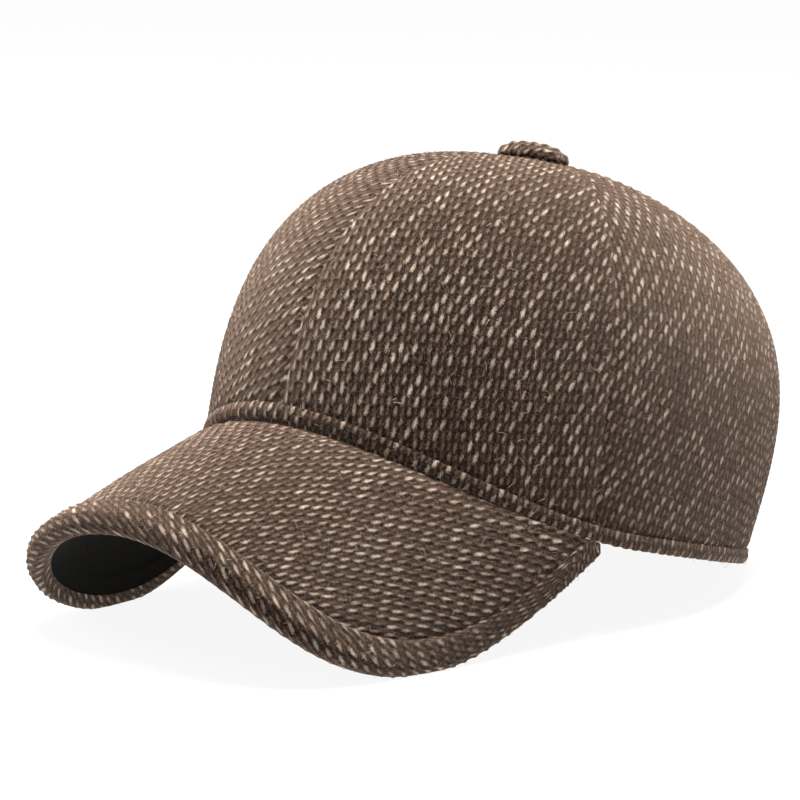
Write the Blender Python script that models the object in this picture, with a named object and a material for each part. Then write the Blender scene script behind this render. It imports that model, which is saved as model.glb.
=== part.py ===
# A winter baseball cap sewn from thick wool tweed: six crown panels and a covered button, a narrow
# bound rim, and a curved brim with a tweed top, a dark underside and a soft bound edge.
# The cap is modelled level in its own axes, with the forehead towards -Y, the wearer's left at +X
# and the crown's rim near Z = 0. It is then tipped back and lowered until it rests by itself on a
# floor at Z = 0, on both low sides of the brim and on the back of the rim.

import math

import bmesh
import bpy
import numpy as np

MM = 0.001

# Clearance kept between pieces that touch on the real cap
GAP = 0.3 * MM

# Crown, measured on the outside of the cloth
CROWN_FRONT = 103.0 * MM
CROWN_BACK = 109.0 * MM
CROWN_HALF_WIDTH = 80.0 * MM
CROWN_HEIGHT = 119.5 * MM
CROWN_CLOTH = 2.5 * MM

# The rim arches up over the forehead and runs level round the back
FOREHEAD_RISE = 22.0 * MM
FOREHEAD_HALF_ANGLE = math.radians(83.5)

# Shape of the crown's wall towards the front, side and back: how square the shoulder is in reach
# and in height, and how far the wall bulges past the rim, as a share of its reach
WALL_COLUMNS = ("reach_power", "height_power", "bulge")
WALL_SHAPES = {
    "front": (0.850, 0.798, -0.003),
    "side": (0.690, 0.825, 0.041),
    "back": (0.930, 0.808, 0.108),
}

# Seams on the wearer's left, mirrored to the right: angle from the front, and how far each one
# swings back at the rim
SEAM_COLUMNS = ("angle", "rim_swing")
SEAMS = {
    "front": (0.0, 0.0),
    "temple": (66.5, 5.0),
    "behind_ear": (124.0, 0.0),
    "back": (180.0, 0.0),
}
SEAM_SWING_POWER = 4
PANELS = (("panel_front", "front", "temple"), ("panel_side", "temple", "behind_ear"),
          ("panel_back", "behind_ear", "back"))
SEAM_DIP = 0.8 * MM
SEAM_DIP_WIDTH = 3.2 * MM

# Hem of the panels, pressed flat inside the rim's binding
HEM_CLOTH = 1.6 * MM
HEM_EASE = 2.2 * MM
RIM_BAND_HEIGHT = 4.6 * MM
RIM_BAND_CLOTH = 0.9 * MM
RIM_BAND_FOLD = 1.5 * MM
RIM_BAND_ROUNDING = 0.45

# Covered button, held by a post through the hole where the panels meet
APEX_HOLE_RADIUS = 3.0 * MM
BUTTON_RADIUS = 11.8 * MM
BUTTON_HEIGHT = 5.8 * MM
BUTTON_COLUMNS = ("radius", "height")
BUTTON_SECTION = ((0.60, 0.0), (0.90, 0.03), (1.00, 0.20), (0.98, 0.38), (0.88, 0.62), (0.70, 0.82),
                  (0.44, 0.95), (0.17, 1.00))

# Brim: its plan is a squared-off half oval, rolled round a fore-and-aft axis
BRIM_END_ANGLE = math.radians(72.5)
BRIM_REACH = 131.0 * MM
BRIM_HALF_WIDTH = 95.0 * MM
BRIM_SQUARENESS = 2.41
BRIM_BEND_RADIUS = 65.6 * MM
BRIM_DROP = 37.7 * MM
BRIM_DOME = 1.8 * MM
BRIM_COVER_THICKNESS = 4.0 * MM
BRIM_UNDER_THICKNESS = 1.1 * MM

# Soft roll of tweed that binds the brim's edge
EDGE_ROLL_RADIUS = 4.5 * MM
EDGE_ROLL_CLOTH = 1.5 * MM
EDGE_LIP = 0.8 * MM
EDGE_TOP_WIDTH = 6.5 * MM
EDGE_SHOULDER_WIDTH = 5.0 * MM
EDGE_UNDER_WIDTH = 1.0 * MM
# How high the roll's top stands at its shoulder, as shares of the lip and of its rise above the lip
EDGE_SHOULDER_LIP = 0.35
EDGE_SHOULDER_RISE = 0.65
# The roll's widths never take more than this share of the brim's length at its ends
WIDEST_ROLL_SHARE = 0.85
LEAST_ROLL_LEAN = 0.3
# Share of its thickness that the brim keeps at its two ends, and where the thinning starts
END_THICKNESS = 0.5
END_THINNING_FROM = 0.75

# How far the soft edges press flat on the floor, as a share of the rim band's fold
REST_PRESS = 0.5

# Columns and rows of the faceted skins
PANEL_COLUMNS = (0.0, 0.035, 0.09, 0.2, 0.32, 0.44, 0.56, 0.68, 0.8, 0.91, 0.965, 1.0)
PANEL_UPPER_ROWS = 11
RIM_SEGMENTS = 72
BRIM_SEGMENTS = 36
BRIM_ROWS = (0.0, 0.16, 0.42, 0.71, 1.0)
BUTTON_SEGMENTS = 20
ROLL_ARC_POINTS = 9
MERIDIAN_SAMPLES = 160
# Powers that crowd the samples towards the rim, and the brim's segments towards its ends
CLIMB_CROWDING = 1.6
BRIM_CROWDING = 1.15
# Small turn and share of the crown's cloth over which its outward direction is measured
FRAME_TURN = 0.01
FRAME_STEP_SHARE = 0.2

TWEED = (0.080, 0.048, 0.033, 1.0)
BLACK_CLOTH = (0.006, 0.005, 0.003, 1.0)


def named(columns, row):
    return dict(zip(columns, row))


def rim_height(angle):
    # Height of the rim line at an angle from the front
    inside = np.minimum(np.abs(wrapped(angle)) / FOREHEAD_HALF_ANGLE, 1.0)
    return FOREHEAD_RISE * np.cos(inside * math.pi / 2) ** 2


def wrapped(angle):
    return (np.asarray(angle) + math.pi) % (2 * math.pi) - math.pi


def crown_surface(angle, climb):
    # Outside of the crown, where climb runs from 0 at the rim to 1 at the top
    psi = np.asarray(climb) * math.pi / 2
    cos_psi = np.maximum(np.cos(psi), 0.0)
    sin_psi = np.sin(psi)
    reaches = {"front": CROWN_FRONT, "side": CROWN_HALF_WIDTH, "back": CROWN_BACK}
    reach = {}
    height = {}
    for side, row in WALL_SHAPES.items():
        wall = named(WALL_COLUMNS, row)
        bulge = 1 + 2 * wall["bulge"] * np.sin(2 * psi)
        reach[side] = reaches[side] * cos_psi ** wall["reach_power"] * bulge
        height[side] = sin_psi ** wall["height_power"]
    forward = np.cos(angle) > 0
    along = np.where(forward, reach["front"], reach["back"])
    along_height = np.where(forward, height["front"], height["back"])
    share = np.cos(angle) ** 2 * along_height + np.sin(angle) ** 2 * height["side"]
    rim = rim_height(angle)
    x = reach["side"] * np.sin(angle)
    y = -along * np.cos(angle)
    z = rim + (CROWN_HEIGHT - rim) * share
    return np.stack([x, y, z], -1)


def meridian(angle):
    # Climb values and the distance that each lies above the rim, along the wall at one angle
    climb = np.linspace(0, 1, MERIDIAN_SAMPLES) ** CLIMB_CROWDING
    points = crown_surface(np.full_like(climb, angle), climb)
    steps = np.linalg.norm(np.diff(points, axis=0), axis=1)
    return climb, np.concatenate([[0.0], np.cumsum(steps)])


def crown_point(angle, distance):
    # Point of the outside skin at a distance above the rim, measured along the wall
    climb, lengths = meridian(angle)
    return crown_surface(np.array(angle), np.interp(distance, lengths, climb))


def crown_frame(angle, distance):
    # Point of the outside skin and the direction that points out of the cloth
    step = CROWN_CLOTH * FRAME_STEP_SHARE
    low = max(distance - step, 0.0)
    across = crown_point(angle + FRAME_TURN, distance) - crown_point(angle - FRAME_TURN, distance)
    up = crown_point(angle, low + 2 * step) - crown_point(angle, low)
    out = np.cross(across, up)
    return crown_point(angle, distance), out / np.linalg.norm(out)


def seam_angle(seam, share):
    # Angle of a seam at a share of the way up from the rim
    row = named(SEAM_COLUMNS, SEAMS[seam])
    return math.radians(row["angle"] + row["rim_swing"] * (1 - share) ** SEAM_SWING_POWER)


def hem_depths():
    # How far under the crown's skin each face of the hem and of its binding lies
    middle = CROWN_CLOTH / 2
    hem_out = middle - HEM_CLOTH / 2
    hem_in = middle + HEM_CLOTH / 2
    return {
        "hem_out": hem_out,
        "hem_in": hem_in,
        "band_out": hem_out - GAP - RIM_BAND_CLOTH,
        "slot_out": hem_out - GAP,
        "slot_in": hem_in + GAP,
        "band_in": hem_in + GAP + RIM_BAND_CLOTH,
    }


def closed_mesh(name, points, faces, colour, roughness):
    # One closed body with its faces pointing out, shaded smooth
    shape = bmesh.new()
    verts = [shape.verts.new(tuple(map(float, point))) for point in points]
    for face in faces:
        shape.faces.new([verts[index] for index in face])
    bmesh.ops.triangulate(shape, faces=shape.faces)
    bmesh.ops.recalc_face_normals(shape, faces=shape.faces)
    mesh = bpy.data.meshes.new(name)
    shape.to_mesh(mesh)
    shape.free()
    mesh.shade_smooth()
    mesh.set_sharp_from_angle(angle=math.radians(50))
    material = bpy.data.materials.new(name)
    material.use_nodes = True
    surface = material.node_tree.nodes["Principled BSDF"]
    surface.inputs["Base Color"].default_value = colour
    surface.inputs["Roughness"].default_value = roughness
    mesh.materials.append(material)
    piece = bpy.data.objects.new(name, mesh)
    bpy.context.scene.collection.objects.link(piece)
    return piece


def wall_faces(columns, rows):
    # Faces of a wall whose outer and inner skins are grids of the same size, with its four edges
    def outer(i, j):
        return i * rows + j

    def inner(i, j):
        return columns * rows + i * rows + j

    faces = []
    for i in range(columns - 1):
        for j in range(rows - 1):
            faces.append((outer(i, j), outer(i + 1, j), outer(i + 1, j + 1), outer(i, j + 1)))
            faces.append((inner(i, j), inner(i, j + 1), inner(i + 1, j + 1), inner(i + 1, j)))
    for i in range(columns - 1):
        faces.append((outer(i, 0), inner(i, 0), inner(i + 1, 0), outer(i + 1, 0)))
        last = rows - 1
        faces.append((outer(i, last), outer(i + 1, last), inner(i + 1, last), inner(i, last)))
    for j in range(rows - 1):
        faces.append((outer(0, j), outer(0, j + 1), inner(0, j + 1), inner(0, j)))
        last = columns - 1
        faces.append((outer(last, j), inner(last, j), inner(last, j + 1), outer(last, j + 1)))
    return faces


def sweep_faces(sections, points, closed):
    # Faces of a section carried along a path, joined into a ring or capped at both ends
    faces = []
    for i in range(sections if closed else sections - 1):
        follow = (i + 1) % sections
        for j in range(points):
            after = (j + 1) % points
            faces.append((i * points + j, follow * points + j, follow * points + after, i * points + after))
    if not closed:
        faces.append(tuple(range(points)))
        faces.append(tuple(reversed(range((sections - 1) * points, sections * points))))
    return faces


def crown_panel(start_seam, end_seam, side):
    # Grids of one panel's outer and inner skins. side is 1 on the wearer's left and -1 on the right
    depths = hem_depths()
    hem_low = RIM_BAND_FOLD + GAP
    hem_high = RIM_BAND_HEIGHT
    outer = []
    inner = []
    for column in PANEL_COLUMNS:
        middle = seam_angle(start_seam, 0.5) * (1 - column) + seam_angle(end_seam, 0.5) * column
        length = meridian(middle)[1][-1]
        top = length - APEX_HOLE_RADIUS
        clear = hem_high + HEM_EASE
        upper = clear + (top - clear) * np.linspace(0, 1, PANEL_UPPER_ROWS + 1)
        for distance in (hem_low, hem_high, *upper):
            share = distance / length
            first = seam_angle(start_seam, share)
            last = seam_angle(end_seam, share)
            angle = first * (1 - column) + last * column
            here = crown_point(angle, min(distance, meridian(angle)[1][-1] - APEX_HOLE_RADIUS))
            radius = max(math.hypot(here[0], here[1]), APEX_HOLE_RADIUS)
            margin = GAP / 2 / radius
            angle = min(max(angle, first + margin), last - margin)
            reach = min(distance, meridian(angle)[1][-1] - APEX_HOLE_RADIUS)
            point, out = crown_frame(angle, reach)
            from_seam = min(angle - first, last - angle) * radius
            dip = SEAM_DIP * math.exp(-(from_seam / SEAM_DIP_WIDTH) ** 2)
            pressed = distance <= hem_high
            top_depth = depths["hem_out"] if pressed else dip
            low_depth = depths["hem_in"] if pressed else CROWN_CLOTH
            mirror = np.array([side, 1, 1])
            outer.append((point - out * top_depth) * mirror)
            inner.append((point - out * low_depth) * mirror)
    return outer + inner


def rim_band_section():
    # Section of the rim's binding as (depth under the crown's skin, distance above the rim)
    depths = hem_depths()
    fold = RIM_BAND_CLOTH * RIM_BAND_ROUNDING
    high = RIM_BAND_HEIGHT
    return (
        (depths["band_out"], fold), (depths["band_out"], high - fold), (depths["band_out"] + fold, high),
        (depths["slot_out"], high), (depths["slot_out"], RIM_BAND_FOLD), (depths["slot_in"], RIM_BAND_FOLD),
        (depths["slot_in"], high), (depths["band_in"] - fold, high), (depths["band_in"], high - fold),
        (depths["band_in"], fold), (depths["band_in"] - fold, 0.0), (CROWN_CLOTH / 2, 0.0),
        (depths["band_out"] + fold, 0.0),
    )


def rim_band():
    points = []
    for segment in range(RIM_SEGMENTS):
        angle = 2 * math.pi * segment / RIM_SEGMENTS
        for depth, distance in rim_band_section():
            point, out = crown_frame(angle, distance)
            points.append(point - out * depth)
    return points


def button_points():
    # Rings of the button from the foot of its post, out under the cap and up over the dome
    post = APEX_HOLE_RADIUS - GAP
    rings = [(post, -CROWN_CLOTH), (post, GAP)]
    for row in BUTTON_SECTION:
        part = named(BUTTON_COLUMNS, row)
        rings.append((part["radius"] * BUTTON_RADIUS, GAP + part["height"] * BUTTON_HEIGHT))
    points = []
    for radius, height in rings:
        for segment in range(BUTTON_SEGMENTS):
            angle = 2 * math.pi * segment / BUTTON_SEGMENTS
            length = meridian(angle)[1][-1]
            seat = crown_point(angle, length - radius)
            points.append((radius * math.sin(angle), -radius * math.cos(angle), seat[2] + height))
    return points


def button_faces(rings):
    faces = []
    for ring in range(rings - 1):
        for segment in range(BUTTON_SEGMENTS):
            after = (segment + 1) % BUTTON_SEGMENTS
            low = ring * BUTTON_SEGMENTS
            high = low + BUTTON_SEGMENTS
            faces.append((low + segment, low + after, high + after, high + segment))
    faces.append(tuple(reversed(range(BUTTON_SEGMENTS))))
    faces.append(tuple(range((rings - 1) * BUTTON_SEGMENTS, rings * BUTTON_SEGMENTS)))
    return faces


def brim_half_thickness():
    return (BRIM_COVER_THICKNESS + BRIM_UNDER_THICKNESS + GAP) / 2


def end_thinning(across):
    # Share of its full thickness that the brim has at across, which is -1 and 1 at its two ends
    past = np.clip((np.abs(across) - END_THINNING_FROM) / (1 - END_THINNING_FROM), 0, 1)
    return 1 - (1 - END_THICKNESS) * past ** 2 * (3 - 2 * past)


def brim_root(across, drop):
    # Line under the rim's binding where the brim is sewn in
    points = []
    for value in across:
        point, out = crown_frame(value * BRIM_END_ANGLE, 0.0)
        points.append(point - out * CROWN_CLOTH / 2)
    return np.array(points) - np.stack([0 * drop, 0 * drop, drop], -1)


def brim_edge(across):
    # Centre line of the roll that binds the edge
    turn = across * math.pi / 2
    power = 2 / BRIM_SQUARENESS
    sideways = BRIM_HALF_WIDTH * np.sign(across) * np.abs(np.sin(turn)) ** power
    forward = np.abs(np.cos(turn)) ** power
    end_y = -CROWN_FRONT * math.cos(BRIM_END_ANGLE)
    bend = BRIM_BEND_RADIUS

    def bent(along):
        return bend * np.sin(along / bend), bend * (1 - np.cos(along / bend))

    x, arch = bent(sideways)
    edge = np.stack([x, end_y - BRIM_REACH * forward, FOREHEAD_RISE - BRIM_DROP * forward - arch], -1)
    # Near its ends the edge is drawn in until it meets the rim from below
    reach, depth = bent(BRIM_HALF_WIDTH)
    plain_end = np.stack([np.sign(across) * reach, 0 * across + end_y, 0 * across + FOREHEAD_RISE - depth], -1)
    below = GAP + EDGE_ROLL_RADIUS * END_THICKNESS
    real_end = brim_root(np.sign(across), 0 * across + below)
    return edge + ((1 - forward) ** 3)[:, None] * (real_end - plain_end)


def unit(vectors):
    return vectors / np.linalg.norm(vectors, axis=-1, keepdims=True)


def brim_layout():
    # Everything that the brim's pieces share, one row for each segment from end to end
    across = np.linspace(-1, 1, BRIM_SEGMENTS + 1)
    across = np.sign(across) * (1 - (1 - np.abs(across)) ** BRIM_CROWDING)
    edge = brim_edge(across)
    thin = end_thinning(across)
    half = brim_half_thickness() * thin
    drop = half + GAP
    for _ in range(3):
        root = brim_root(across, drop)
        rule = unit(edge - root)
        root_out = unit(np.cross(rule, np.gradient(root, axis=0)))
        edge_out = unit(np.cross(rule, np.gradient(edge, axis=0)))
        root_out = root_out * np.sign(root_out[:, 2:] + 1e-9)
        edge_out = edge_out * np.sign(edge_out[:, 2:] + 1e-9)
        drop = GAP + half * np.clip(root_out[:, 2], 0.0, 1.0)
    tangent = unit(np.gradient(edge, axis=0))
    ahead = unit(np.cross(tangent, edge_out))
    ahead = ahead * np.sign(np.sum(ahead * rule, axis=1))[:, None]
    lean = np.maximum(np.sum(ahead * rule, axis=1), LEAST_ROLL_LEAN)
    return {
        "root": root, "edge": edge, "rule": rule, "length": np.linalg.norm(edge - root, axis=1),
        "root_out": root_out, "edge_out": edge_out, "ahead": ahead, "lean": lean, "half": half, "thin": thin,
    }


def brim_out(brim, i, share):
    return unit(brim["root_out"][i] * (1 - share) + brim["edge_out"][i] * share)


def brim_middle(brim, i, share):
    # Point of the brim's middle skin, from 0 at the root to 1 at the edge's centre line, and its out
    out = brim_out(brim, i, share)
    dome = BRIM_DOME * 4 * share * (1 - share) * brim["length"][i] / brim["length"].max()
    return brim["root"][i] * (1 - share) + brim["edge"][i] * share + out * dome, out


def share_back(brim, i, back):
    # Share along a segment that lies a distance back from the edge's centre line, square to it
    along = min(back / brim["lean"][i], brim["length"][i] * WIDEST_ROLL_SHARE)
    return 1 - along / brim["length"][i]


def brim_sheet(brim, top, low):
    # Grids of a sheet whose skins lie at two depths, given as shares and lengths from the middle skin
    outer = []
    inner = []
    plate_end = EDGE_ROLL_RADIUS - EDGE_ROLL_CLOTH - GAP
    for i in range(len(brim["edge"])):
        lip = share_back(brim, i, EDGE_TOP_WIDTH)
        hidden = [share_back(brim, i, back) for back in (EDGE_SHOULDER_WIDTH, EDGE_UNDER_WIDTH, 0.0)]
        stations = [brim_middle(brim, i, share) for share in (*(lip * row for row in BRIM_ROWS), *hidden)]
        out = brim["edge_out"][i]
        stations.append((brim["edge"][i] + brim["ahead"][i] * plate_end * brim["thin"][i], out))
        for middle, out in stations:
            outer.append(middle + out * top[i])
            inner.append(middle + out * low[i])
    return outer + inner


def edge_roll(brim):
    # Sections of the roll round the brim's edge, hollow where the brim's layers sit in it
    points = []
    for i in range(len(brim["edge"])):
        thin = brim["thin"][i]
        slot = brim["half"][i] + GAP
        lip = EDGE_LIP * thin
        radius = EDGE_ROLL_RADIUS * thin
        floor = radius - EDGE_ROLL_CLOTH * thin
        edge = brim["edge"][i]
        out = brim["edge_out"][i]
        ahead = brim["ahead"][i]
        top_end, top_out = brim_middle(brim, i, share_back(brim, i, EDGE_TOP_WIDTH))
        shoulder, shoulder_out = brim_middle(brim, i, share_back(brim, i, EDGE_SHOULDER_WIDTH))
        low_end, low_out = brim_middle(brim, i, share_back(brim, i, EDGE_UNDER_WIDTH))
        proud = max(radius, slot + lip)
        section = [top_end + top_out * slot, top_end + top_out * (slot + lip)]
        rise = lip * EDGE_SHOULDER_LIP + (proud - slot) * EDGE_SHOULDER_RISE
        section.append(shoulder + shoulder_out * (slot + rise))
        for step in range(ROLL_ARC_POINTS):
            turn = math.pi * (0.5 - step / (ROLL_ARC_POINTS - 1))
            section.append(edge + ahead * radius * math.cos(turn) + out * proud * math.sin(turn))
        section.append(low_end - low_out * (slot + lip))
        section.append(low_end - low_out * slot)
        section.append(edge - out * slot)
        section.append(edge + ahead * floor - out * slot)
        section.append(edge + ahead * floor + out * slot)
        section.append(edge + out * slot)
        section.append(shoulder + shoulder_out * slot)
        points.extend(section)
    return points, len(section)


def tipped(points, angle):
    # Points after the whole cap is tipped back by an angle, about the X axis
    points = np.array(points)
    cos_angle = math.cos(angle)
    sin_angle = math.sin(angle)
    y = cos_angle * points[:, 1] + sin_angle * points[:, 2]
    z = -sin_angle * points[:, 1] + cos_angle * points[:, 2]
    return np.stack([points[:, 0], y, z], -1)


def resting_angle(front_points, back_points):
    # Angle at which the brim's low sides and the back of the rim touch the floor together
    low = 0.0
    high = math.radians(45)
    for _ in range(50):
        middle = (low + high) / 2
        front = tipped(front_points, middle)[:, 2].min()
        back = tipped(back_points, middle)[:, 2].min()
        if front < back:
            low = middle
        else:
            high = middle
    return (low + high) / 2


def cap_shapes():
    # Name, points, faces and colour of every piece, in the level cap's axes
    shapes = []
    rows = PANEL_UPPER_ROWS + 3
    for stem, start_seam, end_seam in PANELS:
        for name, side in (("left", 1), ("right", -1)):
            points = crown_panel(start_seam, end_seam, side)
            shapes.append((f"{stem}_{name}", points, wall_faces(len(PANEL_COLUMNS), rows), TWEED))
    rings = 2 + len(BUTTON_SECTION)
    shapes.append(("top_button", button_points(), button_faces(rings), TWEED))
    faces = sweep_faces(RIM_SEGMENTS, len(rim_band_section()), True)
    shapes.append(("rim_binding", rim_band(), faces, TWEED))
    brim = brim_layout()
    half = brim["half"]
    under = BRIM_UNDER_THICKNESS * brim["thin"]
    columns = len(half)
    cover = brim_sheet(brim, half, under + GAP - half)
    rows = len(cover) // (2 * columns)
    shapes.append(("brim_cover", cover, wall_faces(columns, rows), TWEED))
    lining = brim_sheet(brim, under - half, -half)
    shapes.append(("brim_under", lining, wall_faces(columns, rows), BLACK_CLOTH))
    roll, count = edge_roll(brim)
    shapes.append(("brim_binding", roll, sweep_faces(columns, count, False), TWEED))
    return shapes


def build_cap():
    shapes = cap_shapes()
    by_name = {name: points for name, points, _, _ in shapes}
    angle = resting_angle(by_name["brim_binding"], by_name["rim_binding"])
    resting = {name: tipped(points, angle) for name, points in by_name.items()}
    press = RIM_BAND_FOLD * REST_PRESS
    floor = min(points[:, 2].min() for points in resting.values()) + press
    everything = np.concatenate(list(resting.values()))
    middle = (everything.min(axis=0) + everything.max(axis=0)) / 2
    for name, _, faces, colour in shapes:
        points = resting[name] - np.array([middle[0], middle[1], floor])
        points[:, 2] = np.maximum(points[:, 2], 0.0)
        closed_mesh(name, points, faces, colour, 0.9)
    print("tipped back by degrees:", round(math.degrees(angle), 3))
    print("shifted by mm:", [round(float(value) / MM, 3) for value in (-middle[0], -middle[1], -floor)])


def main():
    for old in list(bpy.data.objects):
        bpy.data.objects.remove(old)
    build_cap()


main()
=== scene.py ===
# A winter baseball cap in thick wool tweed: six crown panels, a covered button, a bound rim and a
# curved brim with a soft bound edge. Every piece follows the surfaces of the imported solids, with the
# cloth's own weave raised on it.
import math

import bmesh
import bpy
import mathutils
import numpy as np
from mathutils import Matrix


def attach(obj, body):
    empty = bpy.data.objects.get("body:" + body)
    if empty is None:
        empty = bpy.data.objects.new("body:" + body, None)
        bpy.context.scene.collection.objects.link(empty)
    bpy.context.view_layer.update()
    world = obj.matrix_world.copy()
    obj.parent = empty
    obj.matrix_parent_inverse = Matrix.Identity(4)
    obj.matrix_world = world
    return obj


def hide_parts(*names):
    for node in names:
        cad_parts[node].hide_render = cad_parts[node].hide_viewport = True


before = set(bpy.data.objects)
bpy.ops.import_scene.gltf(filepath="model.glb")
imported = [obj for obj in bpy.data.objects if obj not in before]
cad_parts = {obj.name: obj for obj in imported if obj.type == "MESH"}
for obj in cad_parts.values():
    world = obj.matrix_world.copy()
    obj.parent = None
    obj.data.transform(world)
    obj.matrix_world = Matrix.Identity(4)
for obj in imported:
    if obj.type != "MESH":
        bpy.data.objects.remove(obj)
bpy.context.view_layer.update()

mm = 0.001
gap = 0.3 * mm  # clearance between touching pieces, as in the solids

crown = {
    # reach, reach power, height power and bulge of the wall towards each side
    "walls": {
        "front": (103.0 * mm, 0.850, 0.798, -0.003),
        "side": (80.0 * mm, 0.690, 0.825, 0.041),
        "back": (109.0 * mm, 0.930, 0.808, 0.108),
    },
    "height": 119.5 * mm,
    "cloth": 2.5 * mm,
    "foreheadRise": 22.0 * mm,
    "foreheadHalfAngle": math.radians(83.5),
    "seams": {"front": (0.0, 0.0), "temple": (66.5, 5.0), "ear": (124.0, 0.0), "back": (180.0, 0.0)},
    "seamSwingPower": 4,
    "seamDip": 0.35 * mm,
    "seamDipWidth": 2.4 * mm,
    "hemCloth": 1.6 * mm,
    "hemEase": 2.2 * mm,
    "apexHole": 3.0 * mm,
    "reliefFade": 1.5,  # grid steps over which the relief fades in from a panel's edges
    "grid": 0.62 * mm,  # spacing of the outer skin's points
    "patternShift": (37.3, 61.9),  # mm between the parts of the pattern that neighbours are cut from
    # degrees that each panel's grain is turned clockwise from its centre line
    "grainTurns": {"front_left": -7.0, "front_right": 30.0, "side_left": 8.0, "side_right": -8.0,
                   "back_left": 20.0, "back_right": -13.0},
}


def wrapAngle(angle):
    return (angle + math.pi) % (2 * math.pi) - math.pi


def rimHeight(angle):
    inside = np.minimum(np.abs(wrapAngle(angle)) / crown["foreheadHalfAngle"], 1.0)
    return crown["foreheadRise"] * np.cos(inside * math.pi / 2) ** 2


def crownSurface(angle, climb):
    # Outside of the crown: angle from the front towards the wearer's left, climb 0 at the rim to 1
    psi = climb * math.pi / 2
    reach = {}
    height = {}
    for side, (length, reachPower, heightPower, bulge) in crown["walls"].items():
        reach[side] = length * np.maximum(np.cos(psi), 0.0) ** reachPower * (1 + 2 * bulge * np.sin(2 * psi))
        height[side] = np.sin(psi) ** heightPower
    forward = np.cos(angle) > 0
    along = np.where(forward, reach["front"], reach["back"])
    alongHeight = np.where(forward, height["front"], height["back"])
    share = np.cos(angle) ** 2 * alongHeight + np.sin(angle) ** 2 * height["side"]
    low = rimHeight(angle)
    x = reach["side"] * np.sin(angle)
    return np.stack([x, -along * np.cos(angle), low + (crown["height"] - low) * share], -1)


def measureMeridians():
    # Climb at each distance above the rim, and each meridian's whole length, all round the crown
    angles = np.linspace(-math.pi, math.pi, 1081)
    climbs = np.linspace(0, 1, 500) ** 1.6
    points = crownSurface(angles[:, None], climbs[None, :])
    steps = np.linalg.norm(np.diff(points, axis=1), axis=2)
    lengths = np.concatenate([np.zeros((len(angles), 1)), np.cumsum(steps, axis=1)], axis=1)
    distances = np.arange(0, lengths.max() + mm, 0.25 * mm)
    climbTable = np.stack([np.interp(distances, row, climbs) for row in lengths])
    return {"angles": angles, "distances": distances, "climb": climbTable, "whole": lengths[:, -1]}


meridians = measureMeridians()


def crownLength(angle):
    return np.interp(wrapAngle(angle), meridians["angles"], meridians["whole"])


def crownPoint(angle, distance):
    angle, distance = np.broadcast_arrays(angle, distance)
    table = meridians["climb"]
    column = (wrapAngle(angle) + math.pi) / (2 * math.pi) * (table.shape[0] - 1)
    row = np.clip(distance / meridians["distances"][1], 0, table.shape[1] - 1.001)
    i = np.clip(column.astype(int), 0, table.shape[0] - 2)
    j = row.astype(int)
    s = column - i
    t = row - j
    climb = ((table[i, j] * (1 - t) + table[i, j + 1] * t) * (1 - s)
             + (table[i + 1, j] * (1 - t) + table[i + 1, j + 1] * t) * s)
    return crownSurface(angle, climb)


def unit(vectors):
    return vectors / np.linalg.norm(vectors, axis=-1, keepdims=True)


def crownFrame(angle, distance):
    # Point of the outside skin and the direction that points out of the cloth
    angle, distance = np.broadcast_arrays(angle, distance)
    low = np.maximum(distance - 0.5 * mm, 0.0)
    across = crownPoint(angle + 0.01, distance) - crownPoint(angle - 0.01, distance)
    up = crownPoint(angle, low + mm) - crownPoint(angle, low)
    return crownPoint(angle, distance), unit(np.cross(across, up))


def turnGrain(cloth, degrees):
    # Cloth coordinates with the grain turned, so that the flecks lean further clockwise
    turn = math.radians(degrees)
    across = cloth[..., 0] * math.cos(turn) - cloth[..., 1] * math.sin(turn)
    along = cloth[..., 0] * math.sin(turn) + cloth[..., 1] * math.cos(turn)
    return np.stack([across, along], -1)


def smoothStep(value):
    value = np.clip(value, 0.0, 1.0)
    return value * value * (3 - 2 * value)


def curveThrough(values, at):
    # Catmull-Rom curve through rows of values, read at fractions of a row
    rows = np.concatenate([2 * values[:1] - values[1:2], values, 2 * values[-1:] - values[-2:-1]])
    i = np.clip(at.astype(int), 0, len(values) - 2)
    t = (at - i).reshape((-1,) + (1,) * (values.ndim - 1))
    a, b, c, d = rows[i], rows[i + 1], rows[i + 2], rows[i + 3]
    return 0.5 * (2 * b + (c - a) * t + (2 * a - 5 * b + 4 * c - d) * t ** 2
                  + (3 * b - a - 3 * c + d) * t ** 3)


def lengthsAlong(points):
    # Length of the line through the points up to each of them
    return np.concatenate([[0.0], np.cumsum(np.linalg.norm(np.diff(points, axis=0), axis=1))])


def evenRows(points, count):
    # Fractions of a row that are evenly spaced along the curve through the points
    fine = np.linspace(0, len(points) - 1, len(points) * 40)
    lengths = lengthsAlong(curveThrough(points, fine))
    return np.interp(np.linspace(0, lengths[-1], count), lengths, fine), lengths[-1]


# The cap is worked out level, then tipped back and lowered to where it rests by itself
pose = {"tipBack": math.radians(12.853), "shift": (0.0, 19.947 * mm, 23.615 * mm)}


def restOnFloor(points):
    # From the level cap's axes to where the cap stands
    points = np.asarray(points)
    cosTip = math.cos(pose["tipBack"])
    sinTip = math.sin(pose["tipBack"])
    y = cosTip * points[..., 1] + sinTip * points[..., 2]
    z = cosTip * points[..., 2] - sinTip * points[..., 1]
    resting = np.stack([points[..., 0], y, z], -1) + np.array(pose["shift"])
    resting[..., 2] = np.maximum(resting[..., 2], 0.0)
    return resting


maths = "ShaderNodeMath"


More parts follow.
